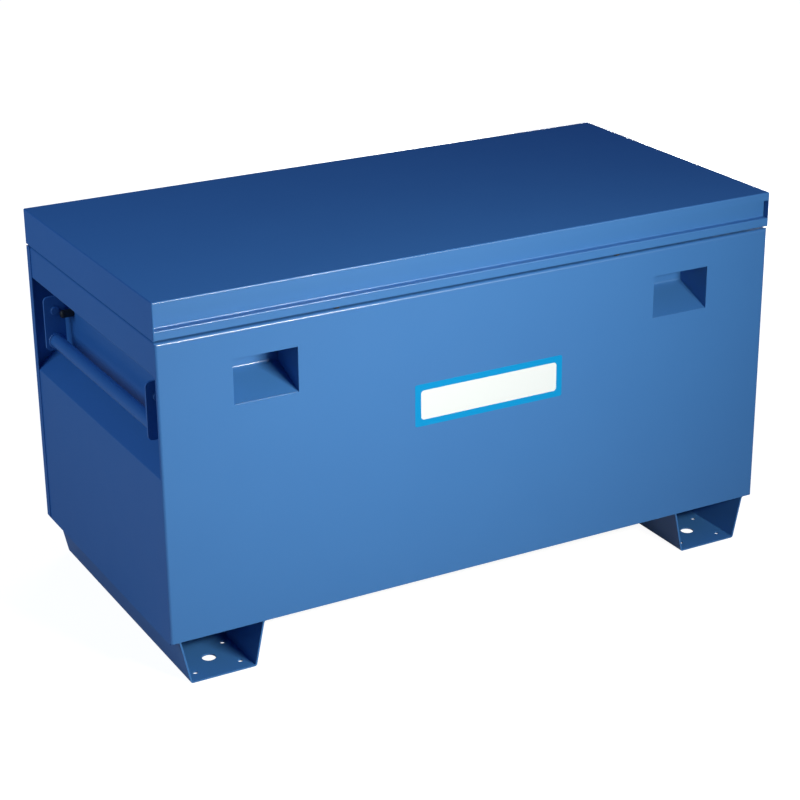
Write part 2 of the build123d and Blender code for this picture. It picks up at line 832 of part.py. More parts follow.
def make_strut_body_bracket():
    # A plate on the recess wall with the stud that the strut's foot turns on
    with BuildPart() as bracket:
        with BuildSketch(Plane.YZ.offset(recess_inside - strut_bracket_sheet)):
            with Locations((foot_y, strut_foot_z)):
                RectangleRounded(strut_bracket_width, strut_bracket_height, strut_bracket_corner)
        extrude(amount=strut_bracket_sheet)
        with BuildSketch(Plane.YZ.offset(strut_x + socket_length / 2 + seat_gap)):
            with Locations((foot_y, strut_foot_z)):
                Circle(collar_radius)
        extrude(until=Until.NEXT)
        stud_start = strut_x - socket_length / 2 + socket_floor + seat_gap
        with BuildSketch(Plane.YZ.offset(stud_start)):
            with Locations((foot_y, strut_foot_z)):
                Circle(stud_radius)
        extrude(until=Until.NEXT)
    return bracket


def make_strut_lid_bracket():
    # An angle under the lid's top whose stud ends just short of the strut's head
    plate_x = recess_inside - strut_bracket_sheet
    bottom = strut_head_z - lug_radius
    outside = (
        (plate_x - lid_bracket_foot, lid_inside - strut_bracket_sheet),
        (plate_x, lid_inside - strut_bracket_sheet),
        (plate_x, bottom),
    )
    with BuildPart() as bracket:
        with BuildSketch(Plane.XZ.offset(-(head_y + strut_bracket_width / 2))):
            add(folded_profile(outside, sheet, strut_bracket_sheet, Side.LEFT))
        extrude(amount=strut_bracket_width)
        fillet(bracket.edges().filter_by(Axis.X).group_by(Axis.Z)[0], radius=strut_bracket_corner)
        with BuildSketch(Plane.YZ.offset(strut_x + socket_length / 2 + open_pivot_gap)):
            with Locations((head_y, strut_head_z)):
                Circle(collar_radius)
        extrude(until=Until.NEXT)
    return bracket


os.makedirs("parts", exist_ok=True)

right_side_panel = make_right_side_panel()
keep(make_front_panel(), "front_panel")
keep(make_rear_panel(), "rear_panel")
keep(right_side_panel, "right_side_panel")
keep(drill_gland_hole(mirrored(right_side_panel)), "left_side_panel")
keep(make_floor_panel(), "floor_panel")
keep(make_rim_buttons(), "rim_buttons")

keep(make_lid_cover(), "lid_cover")
keep(make_lid_front_channel(), "lid_front_channel")

leaf_low = rim_top - leaf_edge_gap - leaf_height
leaf_high = lid_edge + leaf_edge_gap + leaf_height
keep(make_hinge_leaf(0, leaf_low, hinge_z, body_rivet_height), "hinge_body_leaf")
keep(make_hinge_leaf(1, hinge_z, leaf_high, lid_rivet_height), "hinge_lid_leaf")
keep(make_hinge_pin(), "hinge_pin")
rivet = make_rivet()
keep(placed(rivet, rivet_places(body_rivet_height)), "hinge_body_rivets")
keep(placed(rivet, rivet_places(lid_rivet_height)), "hinge_lid_rivets")

keep(make_gland_body(), "gland_body")
keep(make_gland_cap(), "gland_cap")
keep(make_gland_nut(), "gland_nut")

socket_outer = strut_x + socket_length / 2
head_neck = strut_length - socket_radius - sheet
twins = {
    "skid": make_right_skid(),
    "lock_pocket": make_right_pocket(),
    "lock_staple": make_right_staple(),
    "hasp": make_right_hasp(),
    "lid_brace": make_right_lid_brace(),
    "handle_ears": make_right_ears(),
    "handle_grip": make_right_grip(),
    "handle_lugs": make_right_lugs(),
    "handle_bolts": make_right_bolts(),
    "handle_washers": make_right_washers(),
    "handle_nuts": make_right_nuts(),
    "strut_tube": make_strut_tube(),
    "strut_foot": make_strut_socket(0, socket_outer, neck_overlap, tube_start - neck_overlap),
    "strut_rod": make_strut_rod(),
    "strut_head": make_strut_socket(strut_length, socket_outer, head_neck, socket_radius),
    "strut_body_bracket": make_strut_body_bracket(),
    "strut_lid_bracket": make_strut_lid_bracket(),
}
for name, piece in twins.items():
    keep(piece, "right_" + name)
    keep(mirrored(piece), "left_" + name)

print("strut shut", round(strut_length, 2), "stroke", round(strut_stroke, 2), "turn", round(strut_turn, 4))
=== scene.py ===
# Dresses the steel tool trunk: paint, welds, a plain sticker, floor, lamps and camera
# Lengths are in metres, with +X to the trunk's right, +Y to its back and +Z up
import json
from math import cos, pi, radians, sin

import bpy
import numpy as np
from mathutils import Matrix, Vector


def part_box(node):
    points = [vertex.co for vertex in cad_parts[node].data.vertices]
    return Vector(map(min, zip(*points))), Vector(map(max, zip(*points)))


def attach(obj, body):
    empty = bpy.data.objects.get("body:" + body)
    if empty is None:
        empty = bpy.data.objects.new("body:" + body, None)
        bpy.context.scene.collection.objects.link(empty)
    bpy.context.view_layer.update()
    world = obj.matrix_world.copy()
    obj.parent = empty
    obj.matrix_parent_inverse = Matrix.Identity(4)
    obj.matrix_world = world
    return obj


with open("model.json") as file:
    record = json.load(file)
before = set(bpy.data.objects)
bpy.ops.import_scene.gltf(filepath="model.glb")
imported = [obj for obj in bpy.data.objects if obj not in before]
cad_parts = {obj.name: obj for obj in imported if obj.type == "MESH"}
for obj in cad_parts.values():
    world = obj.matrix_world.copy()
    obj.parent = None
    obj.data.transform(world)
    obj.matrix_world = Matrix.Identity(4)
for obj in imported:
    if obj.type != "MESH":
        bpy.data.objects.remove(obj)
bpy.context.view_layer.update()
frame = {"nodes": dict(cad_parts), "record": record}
print("frame loaded with", len(frame["nodes"]), "pieces")


# Materials

class Socket:
    # One value or colour in a material, so that shader maths reads as a formula
    def __init__(self, surface, link):
        self.surface = surface
        self.link = link

    def join(self, operation, first, second):
        return self.surface.node("ShaderNodeMath", {"operation": operation}, {0: first, 1: second})

    def __add__(self, other):
        return self.join("ADD", self, other)

    def __radd__(self, other):
        return self.join("ADD", other, self)

    def __sub__(self, other):
        return self.join("SUBTRACT", self, other)

    def __rsub__(self, other):
        return self.join("SUBTRACT", other, self)

    def __mul__(self, other):
        return self.join("MULTIPLY", self, other)

    def __rmul__(self, other):
        return self.join("MULTIPLY", other, self)

    def __truediv__(self, other):
        return self.join("DIVIDE", self, other)

    def __rtruediv__(self, other):
        return self.join("DIVIDE", other, self)

    def __abs__(self):
        return self.join("ABSOLUTE", self, 0.0)

    def atLeast(self, other):
        return self.join("MAXIMUM", self, other)

    def between(self, low, high):
        # low where this value is 0, high where it is 1
        return low + (high - low) * self


class Surface:
    # A material while it is being built, or the world where one is given
    def __init__(self, name, owner=None):
        self.owner = owner or bpy.data.materials.new(name)
        self.owner.use_nodes = True
        self.tree = self.owner.node_tree
        self.tree.nodes.clear()

    def node(self, kind, settings, inputs, output=0):
        # Adds a node, sets it up, then fills its sockets with values or links
        made = self.tree.nodes.new(kind)
        for name, value in settings.items():
            if name == "stops":
                ramp = made.color_ramp.elements
                while len(ramp) < len(value):
                    ramp.new(0.5)
                for stop, (place, shade) in zip(ramp, value):
                    stop.position = place
                    stop.color = (shade, shade, shade, 1.0)
            else:
                setattr(made, name, value)
        for name, value in inputs.items():
            if isinstance(value, Socket):
                self.tree.links.new(value.link, made.inputs[name])
            else:
                made.inputs[name].default_value = value
        return Socket(self, made.outputs[output]) if made.outputs else None

    def place(self):
        # Where a point lies on the object, in metres
        return self.node("ShaderNodeTexCoord", {}, {}, "Object")

    def part(self, vector, axis):
        # One of a vector's parts: 0 along X, 1 along Y, 2 along Z
        return self.node("ShaderNodeSeparateXYZ", {}, {0: vector}, axis)

    def noise(self, scale, detail=2.0, stretch=None):
        # Cloudy values from 0 to 1; scale counts the clouds in a metre
        where = self.place()
        if stretch:
            where = self.node("ShaderNodeMapping", {}, {"Vector": where, "Scale": stretch})
        return self.node("ShaderNodeTexNoise", {}, {"Vector": where, "Scale": scale, "Detail": detail})

    def ramp(self, factor, stops):
        return self.node("ShaderNodeValToRGB", {"stops": stops}, {"Fac": factor})

    def fade(self, value, start, end, low=0.0, high=1.0):
        # low up to start, high from end on, and a straight slope between them
        limits = {0: value, 1: start, 2: end, 3: low, 4: high}
        return self.node("ShaderNodeMapRange", {"clamp": True}, limits)

    def blend(self, factor, first, second):
        sockets = {"Factor": factor, 6: first, 7: second}
        return self.node("ShaderNodeMix", {"data_type": "RGBA"}, sockets, 2)

    def bump(self, height, distance, normal=None):
        inputs = {"Height": height, "Distance": distance}
        if normal:
            inputs["Normal"] = normal
        return self.node("ShaderNodeBump", {}, inputs)

    def bends(self, flat, curved):
        # 1 where the sheet turns a corner, so that its normal lies along no axis, and 0 where
        # it is flat: the largest part of the normal, faded from flat to curved
        normal = self.node("ShaderNodeTexCoord", {}, {}, "Normal")
        shares = [abs(self.part(normal, axis)) for axis in range(3)]
        return self.fade(shares[0].atLeast(shares[1]).atLeast(shares[2]), flat, curved)

    def rays(self, kind):
        # 1 for rays of one kind, such as Camera
        return self.node("ShaderNodeLightPath", {}, {}, "Is " + kind + " Ray")

    def finish(self, **inputs):
        # The last node: a Principled shader with names such as baseColor for Base Color
        names = {
            "baseColor": "Base Color",
            "roughness": "Roughness",
            "metallic": "Metallic",
            "normal": "Normal",
            "gloss": "Specular IOR Level",
            "coat": "Coat Weight",
            "coatRoughness": "Coat Roughness",
        }
        filled = {names[name]: value for name, value in inputs.items()}
        shader = self.node("ShaderNodeBsdfPrincipled", {}, filled)
        self.node("ShaderNodeOutputMaterial", {}, {"Surface": shader})
        return self.owner


paintLook = {
    "colour": (0.048, 0.197, 0.515, 1.0),
    "shadeColour": (0.045, 0.187, 0.498, 1.0),
    "shadeScale": 7.0,
    "roughness": (0.39, 0.45),
    "smearScale": 16.0,
    "gloss": 0.5,
    "bendCoat": 0.55,
    "bendRoughness": 0.14,
    "bendLimits": (0.995, 0.96),  # the normal's largest part on flat sheet and on a bend
    "peelScale": 420.0,
    "peelHeight": 0.00001,
    "sheetScale": 2.6,
    "sheetHeight": 0.0005,
    "lumpScale": 900.0,
    "lumpHeight": 0.00012,
}


def bluePaint(name, onWeld=False):
    # Powder coat: fine orange peel over the slow waves of sheet metal, and lumps on a weld
    surface = Surface(name)
    shades = surface.noise(paintLook["shadeScale"], detail=3.0)
    smears = surface.noise(paintLook["smearScale"], detail=4.0)
    waves = surface.noise(paintLook["sheetScale"], detail=1.0)
    relief = surface.bump(waves, paintLook["sheetHeight"])
    peel = surface.noise(paintLook["peelScale"])
    relief = surface.bump(peel, paintLook["peelHeight"], normal=relief)
    if onWeld:
        lumps = surface.noise(paintLook["lumpScale"], detail=3.0)
        relief = surface.bump(lumps, paintLook["lumpHeight"], normal=relief)
    return surface.finish(
        baseColor=surface.blend(shades, paintLook["shadeColour"], paintLook["colour"]),
        roughness=smears.between(*paintLook["roughness"]),
        gloss=paintLook["gloss"],
        coat=surface.bends(*paintLook["bendLimits"]) * paintLook["bendCoat"],
        coatRoughness=paintLook["bendRoughness"],
        normal=relief,
    )


zincLook = {
    "colour": (0.62, 0.62, 0.60, 1.0),
    "shadeColour": (0.50, 0.49, 0.45, 1.0),
    "shadeScale": 260.0,
    "roughness": (0.30, 0.46),
    "grainScale": 2400.0,
    "grainHeight": 0.00002,
}


def zincPlate():
    surface = Surface("zincPlate")
    shades = surface.noise(zincLook["shadeScale"], detail=4.0)
    grain = surface.noise(zincLook["grainScale"])
    return surface.finish(
        baseColor=surface.blend(shades, zincLook["shadeColour"], zincLook["colour"]),
        metallic=1.0,
        roughness=shades.between(*zincLook["roughness"]),
        normal=surface.bump(grain, zincLook["grainHeight"]),
    )


blackPaintLook = {
    "colour": (0.016, 0.016, 0.018, 1.0),
    "dustColour": (0.035, 0.035, 0.037, 1.0),
    "dustScale": 90.0,
    "dustLimits": (0.45, 0.8),  # the noise where dust begins and where it is thickest
    "roughness": (0.38, 0.53),
    "gloss": 0.4,
    "peelScale": 700.0,
    "peelHeight": 0.00002,
}


def blackPaint():
    surface = Surface("strutBlackPaint")
    bare, thick = blackPaintLook["dustLimits"]
    dust = surface.noise(blackPaintLook["dustScale"], detail=4.0)
    dust = surface.ramp(dust, [(bare, 0.0), (thick, 1.0)])
    peel = surface.noise(blackPaintLook["peelScale"])
    return surface.finish(
        baseColor=surface.blend(dust, blackPaintLook["colour"], blackPaintLook["dustColour"]),
        roughness=dust.between(*blackPaintLook["roughness"]),
        gloss=blackPaintLook["gloss"],
        normal=surface.bump(peel, blackPaintLook["peelHeight"]),
    )


chromeLook = {
    "colour": (0.72, 0.73, 0.75, 1.0),
    "ringScale": 40.0,
    "ringStretch": (1.0, 1.0, 60.0),
    "ringHeight": 0.000004,
    "roughness": (0.07, 0.15),
}


def rodChrome():
    # Faint polishing rings round a rod that stands nearly upright at rest
    surface = Surface("rodChrome")
    rings = surface.noise(chromeLook["ringScale"], stretch=chromeLook["ringStretch"])
    return surface.finish(
        baseColor=chromeLook["colour"],
        metallic=1.0,
        roughness=rings.between(*chromeLook["roughness"]),
        normal=surface.bump(rings, chromeLook["ringHeight"]),
    )


rubberLook = {
    "colour": (0.018, 0.018, 0.018, 1.0),
    "bloomColour": (0.040, 0.040, 0.039, 1.0),
    "bloomScale": 500.0,
    "roughness": (0.6, 0.8),
    "gloss": 0.3,
    "skinScale": 3000.0,
    "skinHeight": 0.00003,
}


def buttonRubber():
    surface = Surface("buttonRubber")
    bloom = surface.noise(rubberLook["bloomScale"], detail=4.0)
    skin = surface.noise(rubberLook["skinScale"])
    return surface.finish(
        baseColor=surface.blend(bloom, rubberLook["colour"], rubberLook["bloomColour"]),
        roughness=bloom.between(*rubberLook["roughness"]),
        gloss=rubberLook["gloss"],
        normal=surface.bump(skin, rubberLook["skinHeight"]),
    )


glandLook = {
    "colour": (0.012, 0.012, 0.014, 1.0),
    "wornColour": (0.028, 0.028, 0.030, 1.0),
    "wearScale": 300.0,
    "roughness": (0.42, 0.57),
    "gloss": 0.45,
    "grainScale": 2600.0,
    "grainHeight": 0.00004,
}


def glandPlastic():
    surface = Surface("glandPlastic")
    wear = surface.noise(glandLook["wearScale"], detail=3.0)
    grain = surface.noise(glandLook["grainScale"])
    return surface.finish(
        baseColor=surface.blend(wear, glandLook["colour"], glandLook["wornColour"]),
        roughness=wear.between(*glandLook["roughness"]),
        gloss=glandLook["gloss"],
        normal=surface.bump(grain, glandLook["grainHeight"]),
    )


finishes = {
    "blue_paint": bluePaint("bluePaint"),
    "zinc_steel": zincPlate(),
    "strut_paint": blackPaint(),
    "rod_chrome": rodChrome(),
    "button_rubber": buttonRubber(),
    "gland_plastic": glandPlastic(),
}
weldPaint = bluePaint("weldPaint", onWeld=True)

for part in frame["record"]["subparts"]:
    piece = frame["nodes"][part["node"]]
    for place in piece.material_slots:
        place.material = finishes[part["material_slot"]]
print("materials on the CAD pieces")


# Shapes

def skinOf(sheet, loop=False):
    # Points and faces of a grid (rings, around, 3) that closes around; it loops back on
    # itself or ends in a pole at each end, and its faces point outwards
    rings, around = sheet.shape[:2]
    cloud = sheet.reshape(-1, 3)
    ring = np.arange(rings if loop else rings - 1)[:, None]
    side = np.arange(around)[None, :]
    here, onward = ring * around, (ring + 1) % rings * around
    following = (side + 1) % around
    quads = np.stack([here + side, here + following, onward + following, onward + side], -1)
    quads = quads.reshape(-1, 4)
    faces = np.concatenate([quads[:, [0, 1, 2]], quads[:, [0, 2, 3]]])
    if not loop:
        turn, nextTurn = side[0], following[0]
        last = (rings - 1) * around
        pole = np.full(around, rings * around)
        foot = np.stack([pole, nextTurn, turn], -1)
        head = np.stack([pole + 1, last + turn, last + nextTurn], -1)
        cloud = np.concatenate([cloud, sheet[0].mean(0)[None], sheet[-1].mean(0)[None]])
        faces = np.concatenate([faces, foot, head])
    corner = [cloud[faces[:, k]] - cloud.mean(0) for k in range(3)]
    volume = np.einsum("ij,ij->i", corner[0], np.cross(corner[1], corner[2])).sum()
    return cloud, faces if volume > 0 else faces[:, ::-1]


def addPiece(name, skins, material, body, smooth=True):
    # One object from several skins, in metres, riding on a body
    starts = np.cumsum([0] + [len(cloud) for cloud, faces in skins])
    points = np.concatenate([cloud for cloud, faces in skins])
    faces = np.concatenate([faces + start for (cloud, faces), start in zip(skins, starts)])
    mesh = bpy.data.meshes.new(name)
    mesh.from_pydata(points.tolist(), [], faces.tolist())
    mesh.polygons.foreach_set("use_smooth", np.full(len(faces), smooth))
    mesh.materials.append(material)
    piece = bpy.data.objects.new(name, mesh)
    bpy.context.scene.collection.objects.link(piece)
    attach(piece, body)


def tubeAlong(path, first, second, radii, around):
    # A round section carried along a path: path + radius * (cos * first + sin * second)
    angle = np.linspace(0, 2 * pi, around, endpoint=False)[None, :, None]
    spread = np.cos(angle) * first[:, None, :] + np.sin(angle) * second[:, None, :]
    return path[:, None, :] + radii[:, None, None] * spread


beadShape = {
    "stepsPerDrop": 4,
    "fewestSteps": 8,
    "around": 10,
    "endReach": 1.6,  # how far an end rounds off, in radii
    "endFall": 0.98,  # share of its section that an end loses
    "driftRates": (211.0, 97.0),  # radians in a metre
    "driftShift": 1.3,
    "slant": (0.31, 0.59, 0.74),  # along no seam, so a line square to both can be found
    "ringAround": 12,
    "ringWaves": 3,
    "ringShift": 0.7,
}


def ripples(along, look):
    # A bead's radius: its size, a wave for each drop of weld metal, and a slow unevenness
    wave = np.abs(np.sin(pi * along / look["dropPitch"]))
    quick, slow = beadShape["driftRates"]
    drift = np.sin(along * quick) * np.sin(along * slow + beadShape["driftShift"])
    return look["radius"] * (1 + look["dropHeight"] * wave + look["unevenness"] * drift)


def straightBead(start, end, look):
    # A bead along a straight corner: its rippled radius falls off like a quarter circle
    # towards both ends
    start, end = np.array(start), np.array(end)
    length = np.linalg.norm(end - start)
    steps = max(beadShape["fewestSteps"], int(length / look["dropPitch"] * beadShape["stepsPerDrop"]))
    share = np.linspace(0, 1, steps)
    path = start + share[:, None] * (end - start)
    direction = (end - start) / length
    first = np.cross(direction, beadShape["slant"])
    first /= np.linalg.norm(first)
    second = np.cross(direction, first)
    nearEnd = np.minimum(share, 1 - share) * length / (beadShape["endReach"] * look["radius"])
    ends = np.sqrt(1 - (1 - np.minimum(nearEnd, 1)) ** 2 * beadShape["endFall"])
    radii = ripples(share * length, look) * ends
    return skinOf(tubeAlong(path, first[None], second[None], radii, beadShape["around"]))


def ringBead(centre, radius, look):
    # A bead round a circle that faces along Y: centre + radius * (cos, 0, sin), with whole
    # drops and whole slow waves, so that its ends meet
    length = 2 * pi * radius
    drops = round(length / look["dropPitch"])
    turn = np.linspace(0, 2 * pi, drops * beadShape["stepsPerDrop"], endpoint=False)
    outward = np.stack([np.cos(turn), np.zeros_like(turn), np.sin(turn)], -1)
    sideways = np.array([[0.0, 1.0, 0.0]])
    fitted = dict(look, dropPitch=length / drops, unevenness=0.0)
    slowWaves = np.sin(beadShape["ringWaves"] * turn + beadShape["ringShift"])
    radii = ripples(turn / (2 * pi) * length, fitted) * (1 + look["unevenness"] * slowWaves)
    path = np.array(centre) + radius * outward
    return skinOf(tubeAlong(path, outward, sideways, radii, beadShape["ringAround"]), loop=True)


# Places on the trunk

sides = (("left", -1), ("right", 1))  # each side's name, and its direction along X
sheetThickness = 0.0015
weldStand = 0.0003  # how far a bead's middle stands off the sheet


def corners(node):
    # A CAD piece's lowest and highest corners as arrays
    low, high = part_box(node)
    return np.array(low), np.array(high)


def inwardFace(low, high, sign):
    # Where a side's piece ends towards the trunk's middle, along X
    return high[0] if sign < 0 else low[0]


def runBack(x, low, high, z, margin):
    # Both ends of a seam from a piece's front to its back, with a bare margin at each end
    return (x, low[1] + margin, z), (x, high[1] - margin, z)


# Welds of the two drop handles and their brackets

gripWeld = {"radius": 0.0026, "dropPitch": 0.0042, "dropHeight": 0.14, "unevenness": 0.07}
lugWeld = {
    "radius": 0.0019,
    "dropPitch": 0.0034,
    "dropHeight": 0.14,
    "unevenness": 0.08,
    "foot": 0.026,  # a bracket's foot from front to back
    "stand": 0.0009,
    "margin": 0.003,
}

for side, sign in sides:
    low, high = corners(side + "_handle_grip")
    middle = (low + high) / 2
    tubeRadius = (high[2] - low[2]) / 2
    rings = [ringBead((middle[0], y, middle[2]), tubeRadius, gripWeld) for y in (low[1], high[1])]
    addPiece(side + "_grip_welds", rings, weldPaint, side + "_handle")

    low, high = corners(side + "_handle_lugs")
    wall = inwardFace(low, high, sign) + sign * lugWeld["stand"]
    margin = lugWeld["margin"]
    beads = []
    for front in (low[1], high[1] - lugWeld["foot"]):
        back = front + lugWeld["foot"]
        for z in (low[2], high[2]):
            beads.append(straightBead((wall, front + margin, z), (wall, back - margin, z), lugWeld))
        ends = (wall, back, low[2] + margin), (wall, back, high[2] - margin)
        beads.append(straightBead(*ends, lugWeld))
    addPiece(side + "_lug_welds", beads, weldPaint, "trunk")


# Stitch welds that hold the skids, the pockets, the staples and the strut brackets

skidWeld = {
    "radius": 0.0022,
    "dropPitch": 0.0040,
    "dropHeight": 0.13,
    "unevenness": 0.07,
    "count": 4,
    "margin": 0.02,
    "depth": 0.0012,  # below the skid's top
}
sheetWeld = {"radius": 0.0013, "dropPitch": 0.0028, "dropHeight": 0.10, "unevenness": 0.06}
edgePaint = {
    "radius": 0.0007,
    "dropPitch": 0.0090,
    "dropHeight": 0.05,
    "unevenness": 0.16,
    "depth": 1.2,  # from the panel's face to the bead's middle, in radii
}
stitchLook = {"length": 0.045, "fullestShare": 0.7}  # the share is of a stitch's own stretch
pocketLook = {"count": 2, "margin": 0.01}
stapleMargins = {"foot": 0.003, "head": 0.008}
bracketMargin = 0.007


def stitches(start, end, look, count):
    # Beads of one length whose centres lie at (n + half) / count of the way along a seam
    start, end = np.array(start), np.array(end)
    length = np.linalg.norm(end - start)
    half = min(stitchLook["length"], length / count * stitchLook["fullestShare"]) / length / 2
    centres = (np.arange(count) + 0.5) / count
    return [
        straightBead(start + (end - start) * (at - half), start + (end - start) * (at + half), look)
        for at in centres
    ]


for side, sign in sides:
    low, high = corners(side + "_skid")
    seam = inwardFace(low, high, sign) - sign * weldStand
    ends = runBack(seam, low, high, high[2] - skidWeld["depth"], skidWeld["margin"])
    beads = stitches(*ends, skidWeld, skidWeld["count"])
    addPiece(side + "_skid_welds", beads, weldPaint, "trunk")

    # Paint that has gathered on the lower edge of the pocket's opening
    low, high = corners(side + "_lock_pocket")
    front = corners("front_panel")[0][1] + edgePaint["radius"] * edgePaint["depth"]
    edge = low[2] + sheetThickness
    ends = [(x, front, edge) for x in (low[0] + sheetThickness, high[0] - sheetThickness)]
    bead = straightBead(*ends, edgePaint)
    addPiece(side + "_pocket_edge_paint", [bead], finishes["blue_paint"], "trunk")

    seam = low[1] + sheetWeld["radius"] + weldStand
    beads = stitches((low[0], seam, high[2]), (high[0], seam, high[2]), sheetWeld, pocketLook["count"])
    for x in (low[0], high[0]):
        ends = (x, seam, low[2] + pocketLook["margin"]), (x, seam, high[2] - pocketLook["margin"])
        beads += stitches(*ends, sheetWeld, pocketLook["count"])
    low, high = corners(side + "_lock_staple")
    foot, head = low[2] + stapleMargins["foot"], high[2] - stapleMargins["head"]
    for x in (low[0], high[0]):
        beads.append(straightBead((x, high[1], foot), (x, high[1], head), sheetWeld))
    addPiece(side + "_pocket_welds", beads, weldPaint, "trunk")

    low, high = corners(side + "_strut_body_bracket")
    wall = (low[0] if sign < 0 else high[0]) - sign * weldStand  # beside the recess wall
    beads = [
        straightBead(*runBack(wall, low, high, z, bracketMargin), sheetWeld)
        for z in (low[2], high[2])
    ]
    addPiece(side + "_bracket_welds", beads, weldPaint, "trunk")


# Welds and spot welds under the lid

spotLook = {
    "radius": 0.0034,
    "stand": 0.0003,
    "pitch": 0.058,
    "inset": 0.008,
    "rings": 5,
    "around": 12,
}
haspWeld = {"start": 0.003, "end": 0.026}  # from the hasp's inner edge, outwards
lidBracketMargin = 0.004


def spotMark(centre):
    # A flat round blob: radius * sqrt(1 - s * s) at s * stand above its middle, with s
    # from just over -1 to just under 1
    share = np.sin(np.linspace(-pi / 2, pi / 2, spotLook["rings"] + 2)[1:-1])
    path = np.array(centre) + np.outer(share * spotLook["stand"], [0.0, 0.0, 1.0])
    alongX = np.array([[1.0, 0.0, 0.0]])
    alongY = np.array([[0.0, 1.0, 0.0]])
    radii = spotLook["radius"] * np.sqrt(1 - share**2)
    return skinOf(tubeAlong(path, alongX, alongY, radii, spotLook["around"]))


for side, sign in sides:
    low, high = corners(side + "_lid_brace")
    flange = high[2] - sheetThickness
    places = np.arange(low[1] + spotLook["pitch"] / 2, high[1], spotLook["pitch"])
    marks = [
        spotMark((x, y, flange))
        for x in (low[0] + spotLook["inset"], high[0] - spotLook["inset"])
        for y in places
    ]
    addPiece(side + "_brace_spot_welds", marks, weldPaint, "lid")

    low, high = corners(side + "_hasp")
    inner = inwardFace(low, high, sign)
    start, end = inner + sign * haspWeld["start"], inner + sign * haspWeld["end"]
    top = high[2] - weldStand
    beads = [straightBead((start, y, top), (end, y, top), sheetWeld) for y in (low[1], high[1])]
    low, high = corners(side + "_strut_lid_bracket")
    edge = inwardFace(low, high, sign)
    ends = runBack(edge, low, high, high[2] - weldStand, lidBracketMargin)
    beads.append(straightBead(*ends, sheetWeld))
    addPiece(side + "_lid_welds", beads, weldPaint, "lid")
print("welds made")


# Plain sticker on the front: a light blue film with a bare white field

stickerLook = {
    "left": -0.137,
    "right": 0.163,
    "bottom": 0.383,
    "top": 0.461,
    "corner": 0.004,
    "outlinePoints": 48,
    "film": 0.00018,
    "sunk": 0.0002,  # how far it reaches in behind the paint's face
    "rimHeight": 0.6,  # where its edge starts to slope, as a share of the film
    "topShare": 0.9992,  # its top's size beside its rim's
    "border": 0.012,
    "fieldCorner": 0.006,
    "fieldEdge": 0.0004,
    "blue": (0.001, 0.292, 0.680, 1.0),
    "white": (0.77, 0.87, 0.92, 1.0),
    "gloss": 0.28,
    "soilScale": 60.0,
    "roughness": (0.30, 0.42),
    "grainScale": 240.0,
    "grainHeight": 0.00001,
}


def roundedOutline(width, height, corner, around):
    # Points round a rectangle, from its centre: each corner's own centre plus a quarter of
    # a circle, with the signs of the quarter that the point is in
    turn = (np.arange(around) + 0.5) / around * 2 * pi
    side = np.sign(np.stack([np.cos(turn), np.sin(turn)], -1))
    quarter = np.arctan2(np.abs(np.sin(turn)), np.abs(np.cos(turn)))
    arc = np.stack([np.cos(quarter), np.sin(quarter)], -1) * corner
    return side * (np.array([width / 2 - corner, height / 2 - corner]) + arc)


def makeSticker(look):
    # Three outlines closed to a solid: one behind the paint's face, one near the film's
    # top, and one on its top, a little smaller
    face = corners("front_panel")[0][1]
    width, height = look["right"] - look["left"], look["top"] - look["bottom"]
    middle = np.array([look["right"] + look["left"], face * 2, look["top"] + look["bottom"]]) / 2
    outline = roundedOutline(width, height, look["corner"], look["outlinePoints"])
    ring = np.stack([outline[:, 0], np.zeros(look["outlinePoints"]), outline[:, 1]], -1)
    depths = np.array([look["sunk"], -look["film"] * look["rimHeight"], -look["film"]])
    shrink = np.array([1.0, 1.0, look["topShare"]])
    sheet = ring[None] * shrink[:, None, None] + middle
    sheet[:, :, 1] += depths[:, None]
    film = stickerFilm(look, middle, width, height)
    addPiece("front_sticker", [skinOf(sheet)], film, "trunk", smooth=False)


def stickerFilm(look, middle, width, height):
    # White inside a rounded field, where a point is nearer than the corner radius to the
    # rectangle that its corner centres span, and blue around it
    surface = Surface("stickerFilm")
    inset = look["border"] + look["fieldCorner"]
    across = abs(surface.part(surface.place(), 0) - float(middle[0])) - (width / 2 - inset)
    above = abs(surface.part(surface.place(), 2) - float(middle[2])) - (height / 2 - inset)
    across, above = across.atLeast(0.0), above.atLeast(0.0)
    squares = across * across + above * above
    distance = surface.node("ShaderNodeMath", {"operation": "SQRT"}, {0: squares})
    edge = (distance - look["fieldCorner"]) / look["fieldEdge"]
    field = surface.node("ShaderNodeClamp", {}, {"Value": 0.5 - edge})
    soil = surface.noise(look["soilScale"], detail=4.0)
    grain = surface.noise(look["grainScale"])
    return surface.finish(
        baseColor=surface.blend(field, look["blue"], look["white"]),
        roughness=soil.between(*look["roughness"]),
        gloss=look["gloss"],
        normal=surface.bump(grain, look["grainHeight"]),
    )


makeSticker(stickerLook)
print("sticker made")


# Floor, world and lamps

studio = {
    "floorSize": 40.0,
    "floorColour": (0.30, 0.30, 0.30, 1.0),
    "nearGlow": 0.93,
    "farGlow": 0.99,
    "nearReach": 1.2,
    "farReach": 3.0,
    "mirrorShare": 0.05,
    "mirrorFill": 0.2,
    "lowFill": (0.046, 0.076, 0.120, 1.0),
    "highFill": (0.045, 0.098, 0.305, 1.0),
    "fillHeights": (0.2, 0.95),
    "horizon": 0.0,
    "ceiling": 0.10,
}


